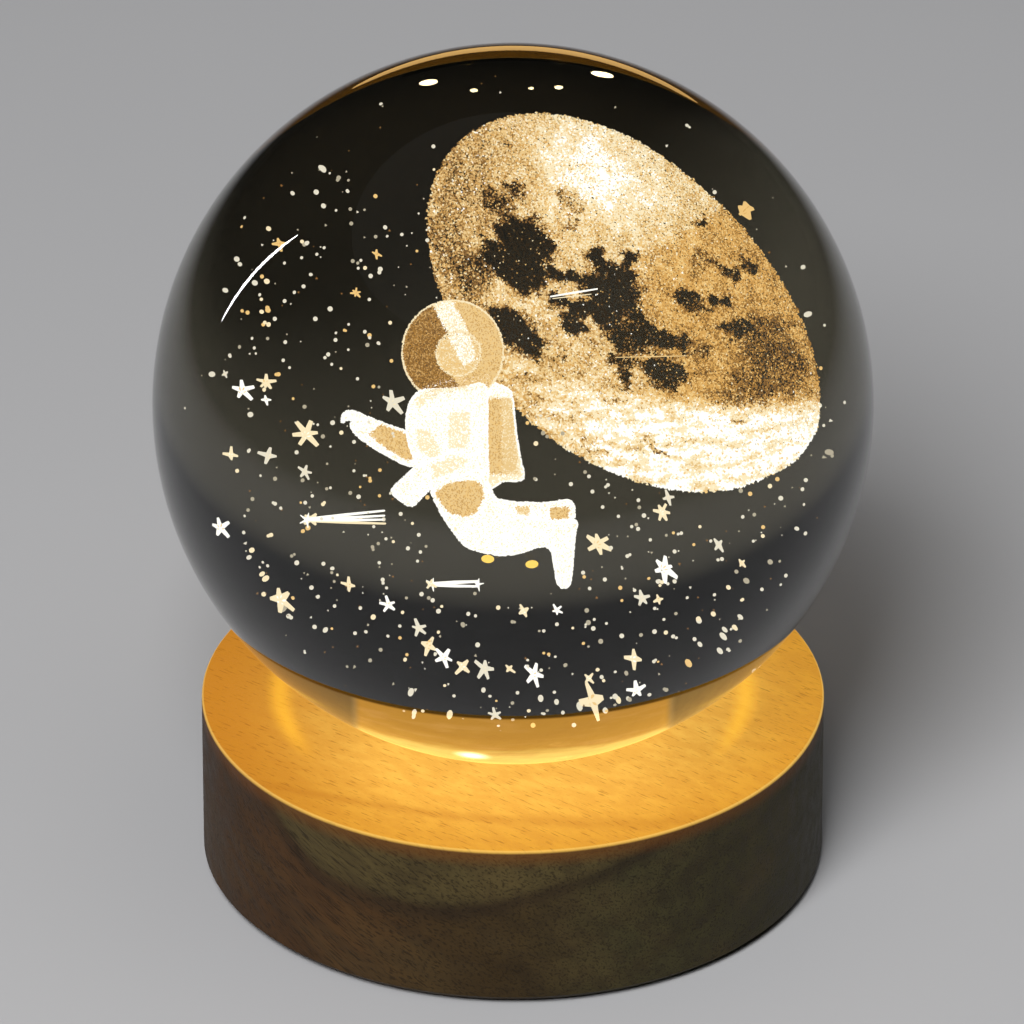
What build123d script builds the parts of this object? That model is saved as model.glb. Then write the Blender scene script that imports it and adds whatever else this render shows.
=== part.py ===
from build123d import *
import math
import os

# A crystal ball lamp: a solid glass ball with a picture engraved inside it, on a turned wooden base
# whose lights shine up into the ball. Millimetres, +Z up, the front faces -Y.
# The origin is the middle of the underside, at the height where the feet stand.

# The ball
ball_radius = 40.0
glass_index = 1.517
seat_gap = 0.08

# The wooden base
base_radius = 35.0
base_height = 19.5
top_edge_round = 0.4
bottom_edge_cut = 0.6
seat_bore_radius = 15.0
seat_edge_round = 1.0
wall_thickness = 7.5
lobe_radius = 4.0
lobe_inset = 1.5

# The bottom cover, its screws and the feet
cover_thickness = 1.6
cover_ledge = 2.8
cover_clearance = 0.2
cover_screw_radius = 0.9
cover_screw_length = 8.0
cover_screw_head_radius = 1.8
cover_screw_head_height = 1.0
cover_screw_angles = (30, 150, 270)
foot_radius = 4.5
foot_thickness = 1.0
foot_proud = 0.5
foot_inset = 4.8
foot_angles = (45, 135, 225, 315)
foot_edge_round = 0.3
screw_hole_clearance = 0.1
screw_slot_width = 0.4
screw_slot_depth = 0.4

# The light board under the ball
light_board_lap = 5.0
light_board_thickness = 1.6
led_count = 6
led_circle = 9.0
led_length = 3.5
led_width = 2.8
led_height = 0.9
led_lens_radius = 1.15
led_lens_depth = 0.45
board_screw_radius = 0.8
board_screw_length = 5.0
board_screw_head_radius = 1.6
board_screw_head_height = 0.9
board_screw_inset = 2.5
board_screw_angles = (90, 210, 330)
resistor_length = 2.0
resistor_width = 1.25
resistor_height = 0.55
led_resistor_circle = 4.2
led_resistor_angles = (0, 120, 240)

# The power board on the cover
power_board_width = 21.0
power_board_depth = 16.5
power_board_thickness = 1.2
power_board_wall_gap = 0.4
standoff_height = 2.6
standoff_radius = 2.0
standoff_inset = 2.4
post_screw_length = 3.4
power_resistor_rights = (-8.2, -4.2)
power_resistor_gap = 3.2

# The power inlet at the back
socket_right = -5.0
socket_width = 8.94
socket_height = 3.26
socket_length = 7.35
socket_wall = 0.3
socket_slot_gap = 0.15
tongue_width = 6.7
tongue_height = 0.7
tongue_length = 4.8
core_back_thickness = 1.2
contact_count = 6
contact_pitch = 1.0
contact_width = 0.5
contact_thickness = 0.08
contact_length = 3.4
plug_pocket_width = 13.0
plug_pocket_height = 8.0
plug_pocket_depth = 5.6

# The push switch beside it
switch_right = 5.5
switch_width = 5.8
switch_length = 9.0
switch_wall = 0.6
switch_end_wall = 1.0
switch_setback = 3.2
switch_head_room = 0.7
plunger_width = 2.6
plunger_gap = 0.08
plunger_flange_width = 4.3
plunger_flange_thickness = 1.3
plunger_flange_gap = 0.1
plunger_reach = 3.0
spring_radius = 1.5
spring_wire_radius = 0.18
spring_turns = 6
spring_end_gap = 0.05
button_radius = 3.0
button_hole_radius = 3.3
button_flange_radius = 3.9
button_flange_thickness = 1.2
button_proud = 1.0
button_travel = 2.0
button_edge_round = 0.5
button_socket_depth = 0.9

# The two leads between the boards
wire_radius = 0.45
wire_spacing = 2.4
red_wire_right = -4.6
wire_top_back = 5.5
wire_foot_inset = 3.0
wire_drop = 3.2
wire_foot_rise = 2.9
wire_sideways = 0.7
bend_share = 0.45

# The picture in the ball. It is engraved upright and faces picture_turn degrees to the left of the
# front. A place in it is read where an eye that looks down at eye_angle degrees sees it through a ball
# of drawn_radius: so far right of the ball's centre and so far above it, with a depth towards the
# picture's own front, or beyond the middle of the line of sight.
picture_turn = 26.0
eye_angle = 29.5
drawn_radius = 40.0

# The engraved moon, a shallow dome
moon_radius = 17.3
moon_rise = 4.2
moon_shell = 0.4
moon_right = 6.3
moon_up = 7.0
moon_back = 10.0
crater_depth = 0.22
crater_places = (
    (-10.7, -6.6, 1.6),
    (-5.2, -12.5, 1.2),
    (0.9, -13.5, 1.9),
    (5.9, -11.4, 1.3),
    (10.7, -8.3, 1.1),
    (2.1, 10.0, 1.5),
    (-3.1, 12.8, 1.0),
    (8.3, 8.0, 1.2),
    (13.5, 1.4, 1.0),
    (-13.8, 0.3, 1.1),
    (-8.3, 5.2, 1.3),
    (4.2, -5.2, 1.0),
)

# The engraved spaceman
suit_depth = 2.0
helmet_place = (-6.64, 5.76)
helmet_radius = 3.75
visor_band_rise = 0.2
visor_band_width = 0.9
visor_band_turn = 38.0
ear_pod_place = (-6.20, 5.00)
ear_pod_radius = 1.5
ear_pod_sunk = 0.6
torso_place = (-7.52, -2.48)
torso_size = (5.0, 3.8, 5.6)
torso_round = 1.6
pack_place = (-2.56, -3.36)
pack_size = (2.6, 3.2, 6.3)
pack_round = 0.45
pack_lean = 5.0
near_side = 2.2
far_side = -1.8
limbs = {
    "far arm": ((-9.60, -4.16), (-16.20, -2.56), 1.15, 0.85, far_side),
    "far hand": ((-16.12, -2.60), (-18.40, -1.44), 0.75, 0.50, far_side),
    "far thumb": ((-18.08, -1.52), (-18.80, -2.08), 0.42, 0.30, far_side),
    "near arm": ((-6.00, -7.28), (-10.20, -9.04), 1.10, 1.00, near_side),
    "near cuff": ((-10.16, -9.00), (-12.40, -10.24), 1.20, 1.05, near_side),
    "hip": ((-6.00, -6.80), (-6.00, -10.64), 1.90, 1.95, 0.0),
    "near thigh": ((-5.84, -11.08), (-0.80, -13.84), 2.05, 1.85, near_side / 2),
    "near shin": ((-0.64, -13.80), (4.80, -14.40), 1.78, 1.25, near_side / 2),
    "near boot": ((5.28, -14.32), (5.36, -19.20), 1.15, 0.75, near_side / 2),
    "far leg": ((-1.60, -12.00), (5.60, -12.08), 1.00, 0.80, far_side / 2),
}

# The engraved stars: place right, place up, reach of a point, number of points
star_depth_spread = 13.0
star_waist = 0.34
star_thickness = 0.3
stars = (
    (-30.0, 1.6, 0.95, 5),
    (-23.2, -3.2, 0.95, 6),
    (-22.8, -7.6, 0.75, 5),
    (-22.8, -12.8, 0.55, 4),
    (-32.4, -13.6, 0.90, 5),
    (-25.6, -21.6, 1.35, 5),
    (-13.6, 0.4, 0.85, 5),
    (-17.2, 12.0, 0.80, 6),
    (-26.0, 18.0, 0.85, 4),
    (-15.2, 16.8, 0.60, 4),
    (-31.6, 3.2, 0.50, 4),
    (-28.0, 2.8, 0.55, 5),
    (-27.2, 0.4, 0.50, 4),
    (-31.2, -5.6, 0.60, 4),
    (-27.6, -5.6, 0.60, 4),
    (-18.0, -20.0, 0.75, 4),
    (-14.0, -22.4, 0.55, 5),
    (-9.2, -20.0, 0.50, 4),
    (-10.4, -24.8, 0.80, 5),
    (-9.6, -27.2, 0.60, 4),
    (-7.6, -28.0, 0.95, 5),
    (-5.6, -29.2, 0.70, 4),
    (-3.2, -29.6, 0.70, 5),
    (-0.4, -29.2, 0.60, 4),
    (2.4, -30.4, 0.65, 5),
    (8.4, -30.4, 0.60, 4),
    (-2.0, -34.4, 0.65, 5),
    (9.2, -33.6, 0.80, 4),
    (13.6, -31.6, 1.05, 5),
    (13.6, -28.4, 0.75, 4),
    (14.4, -21.6, 0.70, 5),
    (16.0, -21.6, 0.60, 4),
    (17.2, -18.4, 0.85, 6),
    (16.4, -12.0, 0.85, 6),
    (17.2, -10.4, 0.60, 4),
    (9.6, -15.6, 0.95, 6),
    (4.8, -22.8, 0.60, 5),
    (1.2, -23.2, 0.55, 4),
    (22.8, -15.6, 0.60, 4),
    (25.2, -17.6, 0.55, 4),
    (26.8, 22.8, 0.80, 5),
)

# The dust of small stars: it leaves out the discs that the moon and the spaceman cover and the stars
dust_count = 230
dust_reach = 0.26
dust_depth_spread = 15.0
dust_edge_inset = 2.8
dust_star_gap = 1.6
dust_gaps = (((12.4, 11.2), 21.2), ((-4.8, -2.4), 12.0))

# The engraved meteors: head, tail end, radius at the head and at the tail
meteor_depth = 4.0
meteors = (
    ((-22.8, -12.8), (-14.2, -12.2), 0.14, 0.50),
    ((-9.2, -20.0), (-3.8, -20.1), 0.16, 0.26),
    ((3.9, 11.5), (9.0, 12.2), 0.10, 0.18),
    ((11.1, 4.8), (19.2, 4.9), 0.08, 0.12),
)

# Heights and places that follow from the sizes
golden_angle = math.pi * (3 - math.sqrt(5))
dust_edge = drawn_radius - dust_edge_inset
base_bottom = foot_proud
base_top = base_bottom + base_height
seat_round_circle = seat_bore_radius + seat_edge_round
ball_centre_above_top = (
    math.sqrt((ball_radius + seat_edge_round) ** 2 - seat_round_circle**2) - seat_edge_round + seat_gap
)
ball_centre = Vector(0, 0, base_top + ball_centre_above_top)
cavity_radius = base_radius - wall_thickness
lobe_circle = cavity_radius - lobe_inset
cover_radius = cavity_radius + cover_ledge
foot_circle = cover_radius - foot_radius - foot_inset
cover_top = base_bottom + cover_thickness
power_board_bottom = cover_top + standoff_height
power_board_top = power_board_bottom + power_board_thickness
light_board_bottom = power_board_top + switch_width + switch_head_room
light_board_top = light_board_bottom + light_board_thickness
light_board_radius = seat_bore_radius + light_board_lap
board_screw_circle = seat_bore_radius + board_screw_inset
power_board_back = (
    math.sqrt((cavity_radius - power_board_wall_gap) ** 2 - (power_board_width / 2) ** 2)
)
power_board_front = power_board_back - power_board_depth
socket_middle = power_board_top + socket_height / 2
socket_mouth = math.sqrt(base_radius**2 - socket_right**2) - plug_pocket_depth
socket_back = socket_mouth - socket_length
power_resistor_back = socket_back - power_resistor_gap - resistor_length / 2
switch_middle = power_board_top + switch_width / 2
switch_front = power_board_back - switch_setback
switch_back = switch_front - switch_length
plunger_tip = switch_front + plunger_reach
button_face = math.sqrt(base_radius**2 - switch_right**2) + button_proud
wire_foot_back = power_board_front + wire_foot_inset
standoff_places = (
    (power_board_width / 2 - standoff_inset, power_board_front + standoff_inset),
    (-power_board_width / 2 + standoff_inset, power_board_front + standoff_inset),
)

picture_angle = math.radians(picture_turn)
picture_front = Vector(-math.sin(picture_angle), -math.cos(picture_angle), 0)
picture_right = Vector(math.cos(picture_angle), -math.sin(picture_angle), 0)
eye_pitch = math.radians(eye_angle)
eye_ahead = Vector(0, math.cos(eye_pitch), -math.sin(eye_pitch))
eye_up = Vector(0, math.sin(eye_pitch), math.cos(eye_pitch))
eye_right = Vector(1, 0, 0)


def on_circle(radius, angle):
    """The point at this angle, in degrees, on a circle about the upright axis."""
    turn = math.radians(angle)
    return (radius * math.cos(turn), radius * math.sin(turn))


def facing_back(right, back, height):
    """A plane that faces the back of the lamp, with its own X to the lamp's left."""
    return Plane(origin=(right, back, height), x_dir=(-1, 0, 0), z_dir=(0, 1, 0))


def block(right, back, bottom, width, depth, height):
    """A box that stands at this height, centred on this place."""
    return Pos(right, back, bottom + height / 2) * Box(width, depth, height)


def upright(radius, bottom, height, place=(0, 0)):
    """A round bar that stands at this height."""
    return Pos(place[0], place[1], bottom + height / 2) * Cylinder(radius, height)


def group(solids):
    """Separate solids that share one node."""
    return Compound(children=[solid.solids()[0] for solid in solids])


def sight_line(right, up):
    """Where the line of sight through this place on the ball's face is nearest to the ball's centre,
    from that centre, and its direction inside the glass."""
    offset = eye_right * right + eye_up * up
    entry = offset - eye_ahead * math.sqrt(drawn_radius**2 - offset.length**2)
    outward = entry / drawn_radius
    cos_outside = -eye_ahead.dot(outward)
    cos_inside = math.sqrt(1 - (1 - cos_outside**2) / glass_index**2)
    inside = eye_ahead / glass_index + outward * (cos_outside / glass_index - cos_inside)
    return entry - inside * entry.dot(inside), inside


def place_seen(right, up, depth):
    """Where a thing lies that is seen at this place, on the upright plane at this depth."""
    nearest, inside = sight_line(right, up)
    reach = (depth - nearest.dot(picture_front)) / inside.dot(picture_front)
    return ball_centre + nearest + inside * reach


def place_along(right, up, beyond):
    """Where a thing lies that is seen at this place, this far beyond the middle of the line of sight."""
    nearest, inside = sight_line(right, up)
    return ball_centre + nearest + inside * beyond


def spiked(centre, reach, points, waist, thickness, turn):
    """A flat star with a low peak on each side, or a small diamond where the waist equals the reach."""
    corners = []
    for step in range(2 * points):
        angle = turn + math.pi * step / points
        radius = reach if step % 2 == 0 else reach * waist
        corner = picture_right * (radius * math.cos(angle)) + Vector(0, 0, radius * math.sin(angle))
        corners.append(centre + corner)
    faces = []
    for peak in (centre + picture_front * thickness, centre - picture_front * thickness):
        for first, second in zip(corners, corners[1:] + corners[:1]):
            faces.append(Face(Wire.make_polygon([first, second, peak], close=True)))
    return Solid(Shell(faces))


def make_ball():
    return Pos(*ball_centre) * Sphere(ball_radius)


def make_moon():
    dome_radius = (moon_radius**2 + moon_rise**2) / (2 * moon_rise)
    dome_middle = moon_rise - dome_radius
    dome = upright(moon_radius, -moon_shell, moon_rise + 2 * moon_shell)
    dome &= Pos(0, 0, dome_middle) * Sphere(dome_radius)
    dome -= Pos(0, 0, dome_middle - moon_shell) * Sphere(dome_radius)
    for across, along, radius in crater_places:
        height = math.sqrt(dome_radius**2 - across**2 - along**2)
        away = Vector(across, along, height).normalized()
        floor = Vector(0, 0, dome_middle) + away * (dome_radius - crater_depth)
        dome -= Plane(origin=floor, z_dir=away) * upright(radius, 0, moon_rise)
    centre = ball_centre + picture_right * moon_right + Vector(0, 0, moon_up) - picture_front * moon_back
    return Plane(origin=centre, x_dir=picture_right, z_dir=picture_front) * dome


def make_limb(start, end, start_radius, end_radius):
    """A tapered bar with round ends about these two places."""
    length = (end - start).length
    half = math.sqrt(0.5)
    outline = [
        ThreePointArc((0, -start_radius), (start_radius * half, -start_radius * half), (start_radius, 0)),
        Line((start_radius, 0), (end_radius, length)),
        ThreePointArc(
            (end_radius, length), (end_radius * half, length + end_radius * half), (0, length + end_radius)
        ),
        Line((0, length + end_radius), (0, -start_radius)),
    ]
    bar = revolve(Plane.XZ * make_face(Curve() + outline), Axis.Z)
    return Plane(origin=start, z_dir=end - start) * bar


def make_astronaut():
    helmet_centre = place_seen(*helmet_place, suit_depth)
    visor_angle = math.radians(visor_band_turn)
    visor_way = picture_front * math.sin(visor_angle) - picture_right * math.cos(visor_angle)
    outline = Circle(helmet_radius) + Rectangle(2 * (helmet_radius + visor_band_rise), visor_band_width)
    outline &= Pos(helmet_radius, 0) * Rectangle(2 * helmet_radius, 3 * helmet_radius)
    helmet = revolve(Plane.XZ * outline, Axis.Z)
    figure = Plane(origin=helmet_centre, z_dir=visor_way) * helmet
    pod_centre = place_seen(*ear_pod_place, suit_depth + helmet_radius - ear_pod_sunk)
    figure += Plane(origin=pod_centre, z_dir=picture_front) * Sphere(ear_pod_radius)
    torso = fillet(Box(*torso_size).edges(), torso_round)
    torso_plane = Plane(
        origin=place_seen(*torso_place, suit_depth), x_dir=picture_right, z_dir=(0, 0, 1)
    )
    figure += torso_plane * torso
    pack = fillet(Box(*pack_size).edges(), pack_round)
    pack_plane = Plane(
        origin=place_seen(*pack_place, suit_depth), x_dir=picture_right, z_dir=(0, 0, 1)
    )
    figure += pack_plane * Rot(0, -pack_lean, 0) * pack
    for start, end, start_radius, end_radius, side in limbs.values():
        figure += make_limb(
            place_seen(*start, suit_depth + side),
            place_seen(*end, suit_depth + side),
            start_radius,
            end_radius,
        )
    return figure


def make_stars():
    solids = []
    for number, (right, up, reach, points) in enumerate(stars):
        centre = place_along(right, up, star_depth_spread * math.sin(number * golden_angle))
        solids.append(spiked(centre, reach, points, star_waist, reach * star_thickness, number))
    return Compound(children=solids)


def make_dust():
    solids = []
    for number in range(dust_count):
        radius = dust_edge * math.sqrt((number + 0.5) / dust_count)
        right = radius * math.cos(number * golden_angle)
        up = radius * math.sin(number * golden_angle)
        if any(math.dist((right, up), middle) < gap for middle, gap in dust_gaps):
            continue
        if any(math.dist((right, up), star[:2]) < dust_star_gap for star in stars):
            continue
        centre = place_along(right, up, dust_depth_spread * math.sin(number * number))
        solids.append(spiked(centre, dust_reach, 2, 1.0, dust_reach, number))
    return Compound(children=solids)


def make_meteors():
    solids = []
    for head, tail, head_radius, tail_radius in meteors:
        start = place_seen(*head, meteor_depth)
        end = place_seen(*tail, meteor_depth)
        plane = Plane(origin=(start + end) / 2, z_dir=end - start)
        solids.append(plane * Cone(head_radius, tail_radius, (end - start).length))
    return group(solids)


def make_wooden_base():
    body = upright(base_radius, base_bottom, base_height)
    body = fillet(body.edges().group_by(Axis.Z)[-1], top_edge_round)
    body = chamfer(body.edges().group_by(Axis.Z)[0], bottom_edge_cut)
    body -= upright(seat_bore_radius, light_board_top, base_top - light_board_top)
    seat_edge = body.edges().filter_by(GeomType.CIRCLE).sort_by(Axis.Z)[-2:].sort_by(SortBy.RADIUS)[0]
    body = fillet(seat_edge, seat_edge_round)
    cavity = upright(cavity_radius, cover_top, light_board_top - cover_top)
    for angle in cover_screw_angles:
        cavity -= upright(
            lobe_radius, cover_top, light_board_top - cover_top, on_circle(lobe_circle, angle)
        )
    body -= cavity
    body -= upright(cover_radius + cover_clearance, base_bottom, cover_thickness)
    for angle in cover_screw_angles:
        place = on_circle(lobe_circle, angle)
        body -= upright(cover_screw_radius, cover_top, cover_screw_length - cover_thickness, place)
    for angle in board_screw_angles:
        place = on_circle(board_screw_circle, angle)
        depth = board_screw_length - light_board_thickness
        body -= upright(board_screw_radius, light_board_top, depth, place)
    reach = base_radius + button_proud
    pocket = facing_back(socket_right, socket_mouth, socket_middle) * SlotOverall(
        plug_pocket_width, plug_pocket_height
    )
    body -= extrude(pocket, reach - socket_mouth)
    slot = facing_back(socket_right, power_board_back, socket_middle) * SlotOverall(
        socket_width + 2 * socket_slot_gap, socket_height + 2 * socket_slot_gap
    )
    body -= extrude(slot, socket_mouth - power_board_back)
    button_hole = facing_back(switch_right, switch_front, switch_middle) * Circle(button_hole_radius)
    body -= extrude(button_hole, reach - switch_front)
    return body


def make_light_board():
    board = upright(light_board_radius, light_board_bottom, light_board_thickness)
    for angle in board_screw_angles:
        board -= upright(
            board_screw_radius + screw_hole_clearance,
            light_board_bottom,
            light_board_thickness,
            on_circle(board_screw_circle, angle),
        )
    return board


def make_pan_screw(shank_radius, length, head_radius, head_height):
    """A screw that points up, with its head's top face at zero and a cross slot in it."""
    screw = upright(shank_radius, 0, length) + upright(head_radius, -head_height, head_height)
    screw = fillet(screw.edges().group_by(Axis.Z)[0], head_height / 2)
    slot_length = head_radius * 1.2
    slot_bottom = -head_height
    screw -= block(0, 0, slot_bottom, slot_length, screw_slot_width, screw_slot_depth)
    screw -= block(0, 0, slot_bottom, screw_slot_width, slot_length, screw_slot_depth)
    return screw


def make_light_board_screws():
    screw = make_pan_screw(
        board_screw_radius, board_screw_length, board_screw_head_radius, board_screw_head_height
    )
    return group(
        Pos(*on_circle(board_screw_circle, angle), light_board_bottom) * screw
        for angle in board_screw_angles
    )


def led_locations():
    places = []
    for number in range(led_count):
        angle = 360 * number / led_count
        places.append(Pos(*on_circle(led_circle, angle), light_board_top) * Rot(0, 0, angle))
    return places


def make_led_packages():
    body = block(0, 0, 0, led_width, led_length, led_height)
    body = fillet(body.edges().filter_by(Axis.Z), led_height / 4)
    body -= upright(led_lens_radius, led_height - led_lens_depth, led_lens_depth)
    return group(place * body for place in led_locations())


def make_led_lenses():
    lens = upright(led_lens_radius, led_height - led_lens_depth, led_lens_depth)
    return group(place * lens for place in led_locations())


def make_resistor():
    body = block(0, 0, 0, resistor_length, resistor_width, resistor_height)
    return chamfer(body.edges().group_by(Axis.Z)[-1], resistor_height / 8)


def make_led_resistors():
    return group(
        Pos(*on_circle(led_resistor_circle, angle), light_board_top) * Rot(0, 0, angle) * make_resistor()
        for angle in led_resistor_angles
    )


def make_bottom_cover():
    cover = upright(cover_radius, base_bottom, cover_thickness)
    for place in standoff_places:
        cover += upright(standoff_radius, cover_top, standoff_height, place)
        cover -= upright(board_screw_radius, power_board_top - post_screw_length, post_screw_length, place)
    for angle in foot_angles:
        place = on_circle(foot_circle, angle)
        cover -= upright(foot_radius, base_bottom, foot_thickness - foot_proud, place)
    for angle in cover_screw_angles:
        place = on_circle(lobe_circle, angle)
        cover -= upright(cover_screw_radius + screw_hole_clearance, base_bottom, cover_thickness, place)
        sink = Cone(cover_screw_head_radius, cover_screw_radius, cover_screw_head_height)
        cover -= Pos(*place, base_bottom + cover_screw_head_height / 2) * sink
    return cover


def make_cover_screws():
    screw = upright(cover_screw_radius, 0, cover_screw_length)
    screw += Pos(0, 0, cover_screw_head_height / 2) * Cone(
        cover_screw_head_radius, cover_screw_radius, cover_screw_head_height
    )
    slot_length = cover_screw_head_radius * 1.2
    screw -= block(0, 0, 0, slot_length, screw_slot_width, screw_slot_depth)
    screw -= block(0, 0, 0, screw_slot_width, slot_length, screw_slot_depth)
    return group(
        Pos(*on_circle(lobe_circle, angle), base_bottom) * screw for angle in cover_screw_angles
    )


def make_feet():
    foot = upright(foot_radius, 0, foot_thickness)
    foot = fillet(foot.edges().group_by(Axis.Z)[0], foot_edge_round)
    return group(Pos(*on_circle(foot_circle, angle), 0) * foot for angle in foot_angles)


def make_power_board():
    middle = (power_board_front + power_board_back) / 2
    board = block(0, middle, power_board_bottom, power_board_width, power_board_depth, power_board_thickness)
    notch_width = 2 * (button_flange_radius + power_board_wall_gap)
    notch_depth = power_board_back - switch_front
    notch_middle = (power_board_back + switch_front) / 2
    board -= block(
        switch_right, notch_middle, power_board_bottom, notch_width, notch_depth, power_board_thickness
    )
    for place in standoff_places:
        board -= upright(
            board_screw_radius + screw_hole_clearance, power_board_bottom, power_board_thickness, place
        )
    return board


def make_power_board_screws():
    screw = make_pan_screw(
        board_screw_radius, post_screw_length, board_screw_head_radius, board_screw_head_height
    )
    return group(Pos(*place, power_board_top) * Rot(180, 0, 0) * screw for place in standoff_places)


def make_power_resistors():
    return group(
        Pos(right, power_resistor_back, power_board_top) * Rot(0, 0, 90) * make_resistor()
        for right in power_resistor_rights
    )


def make_socket_shell():
    back = facing_back(socket_right, socket_back, socket_middle)
    shell = extrude(back * SlotOverall(socket_width, socket_height), socket_length)
    inside = facing_back(socket_right, socket_back + socket_wall, socket_middle)
    bore = SlotOverall(socket_width - 2 * socket_wall, socket_height - 2 * socket_wall)
    return shell - extrude(inside * bore, socket_length)


def make_socket_core():
    inside = facing_back(socket_right, socket_back + socket_wall, socket_middle)
    plug = SlotOverall(socket_width - 2 * socket_wall, socket_height - 2 * socket_wall)
    core = extrude(inside * plug, core_back_thickness)
    tongue = inside * Rectangle(tongue_width, tongue_height)
    return core + extrude(tongue, core_back_thickness + tongue_length)


def make_socket_contacts():
    back = socket_back + socket_wall + core_back_thickness
    solids = []
    for number in range(contact_count):
        right = socket_right + (number - (contact_count - 1) / 2) * contact_pitch
        for bottom in (socket_middle + tongue_height / 2, socket_middle - tongue_height / 2 - contact_thickness):
            solids.append(
                block(right, back + contact_length / 2, bottom, contact_width, contact_length, contact_thickness)
            )
    return group(solids)


def make_switch_housing():
    outer = facing_back(switch_right, switch_back, switch_middle) * Rectangle(switch_width, switch_width)
    housing = extrude(outer, switch_length)
    hollow_width = switch_width - 2 * switch_wall
    hollow = facing_back(switch_right, switch_back + switch_end_wall, switch_middle)
    housing -= extrude(hollow * Rectangle(hollow_width, hollow_width), switch_length - 2 * switch_end_wall)
    hole_width = plunger_width + 2 * plunger_gap
    front = facing_back(switch_right, switch_front - switch_end_wall, switch_middle)
    return housing - extrude(front * Rectangle(hole_width, hole_width), switch_end_wall)


def flange_back():
    return switch_front - switch_end_wall - plunger_flange_gap - plunger_flange_thickness


def make_switch_plunger():
    back = facing_back(switch_right, flange_back(), switch_middle)
    flange = extrude(
        back * Rectangle(plunger_flange_width, plunger_flange_width), plunger_flange_thickness
    )
    stem = extrude(back * Rectangle(plunger_width, plunger_width), plunger_tip - flange_back())
    return flange + stem


def make_switch_spring():
    start = switch_back + switch_end_wall + spring_wire_radius + spring_end_gap
    height = flange_back() - spring_wire_radius - spring_end_gap - start
    coil = Helix(height / spring_turns, height, spring_radius)
    wire_end = Plane(origin=coil @ 0, z_dir=coil % 0) * Circle(spring_wire_radius)
    spring = sweep(wire_end, path=coil)
    return facing_back(switch_right, start, switch_middle) * spring


def make_button():
    rear = plunger_tip - button_socket_depth
    plane = facing_back(switch_right, rear, switch_middle)
    button = extrude(plane * Circle(button_radius), button_face - rear)
    button = fillet(button.edges().group_by(Axis.Y)[-1], button_edge_round)
    button += extrude(plane * Circle(button_flange_radius), button_flange_thickness)
    socket_width_here = plunger_width + 2 * plunger_gap
    return button - extrude(plane * Rectangle(socket_width_here, socket_width_here), button_socket_depth)


def make_wire(right):
    """A lead that drops from the light board, bends over and stands on the power board."""
    sideways = wire_sideways if right == red_wire_right else -wire_sideways
    route = [
        Vector(right, wire_top_back, light_board_bottom),
        Vector(right, wire_top_back, light_board_bottom - wire_drop),
        Vector(right + sideways, wire_foot_back, power_board_top + wire_foot_rise),
        Vector(right + sideways, wire_foot_back, power_board_top),
    ]
    radii = []
    for before, corner, after in zip(route, route[1:], route[2:]):
        shorter = min((corner - before).length, (after - corner).length)
        half_turn = math.radians((corner - before).get_angle(after - corner)) / 2
        radii.append(bend_share * shorter / math.tan(half_turn))
    path = FilletPolyline(route, radius=radii)
    return sweep(Plane(origin=path @ 0, z_dir=path % 0) * Circle(wire_radius), path=path)


parts = {
    "crystal_ball": make_ball(),
    "engraved_moon": make_moon(),
    "engraved_astronaut": make_astronaut(),
    "engraved_stars": make_stars(),
    "engraved_star_dust": make_dust(),
    "engraved_meteors": make_meteors(),
    "wooden_base": make_wooden_base(),
    "light_board": make_light_board(),
    "light_board_screws": make_light_board_screws(),
    "led_packages": make_led_packages(),
    "led_lenses": make_led_lenses(),
    "led_resistors": make_led_resistors(),
    "power_board": make_power_board(),
    "power_board_screws": make_power_board_screws(),
    "power_resistors": make_power_resistors(),
    "usb_socket_shell": make_socket_shell(),
    "usb_socket_core": make_socket_core(),
    "usb_socket_contacts": make_socket_contacts(),
    "switch_housing": make_switch_housing(),
    "switch_plunger": make_switch_plunger(),
    "switch_spring": make_switch_spring(),
    "switch_button": make_button(),
    "wire_red": make_wire(red_wire_right),
    "wire_black": make_wire(red_wire_right + wire_spacing),
    "bottom_cover": make_bottom_cover(),
    "cover_screws": make_cover_screws(),
    "rubber_feet": make_feet(),
}

os.makedirs("parts", exist_ok=True)
for name, shape in parts.items():
    export_step(shape, f"parts/{name}.step")
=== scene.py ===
import math

import bpy
import numpy as np
from mathutils import Matrix, Vector, noise


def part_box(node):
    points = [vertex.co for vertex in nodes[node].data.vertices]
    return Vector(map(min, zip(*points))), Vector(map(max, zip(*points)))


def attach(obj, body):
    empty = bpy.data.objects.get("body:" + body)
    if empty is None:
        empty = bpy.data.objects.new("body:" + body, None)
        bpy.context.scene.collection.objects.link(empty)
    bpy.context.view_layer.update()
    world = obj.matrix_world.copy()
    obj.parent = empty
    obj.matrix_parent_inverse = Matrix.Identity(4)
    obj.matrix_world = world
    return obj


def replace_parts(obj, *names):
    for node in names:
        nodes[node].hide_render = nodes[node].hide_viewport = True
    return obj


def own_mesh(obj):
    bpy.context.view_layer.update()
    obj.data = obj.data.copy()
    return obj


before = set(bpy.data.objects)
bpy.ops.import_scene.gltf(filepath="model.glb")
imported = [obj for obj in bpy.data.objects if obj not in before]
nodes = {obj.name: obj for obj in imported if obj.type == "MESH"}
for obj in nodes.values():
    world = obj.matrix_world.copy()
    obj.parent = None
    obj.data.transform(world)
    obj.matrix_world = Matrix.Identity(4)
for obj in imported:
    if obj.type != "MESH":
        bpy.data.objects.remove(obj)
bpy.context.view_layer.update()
mm = 0.001


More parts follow.
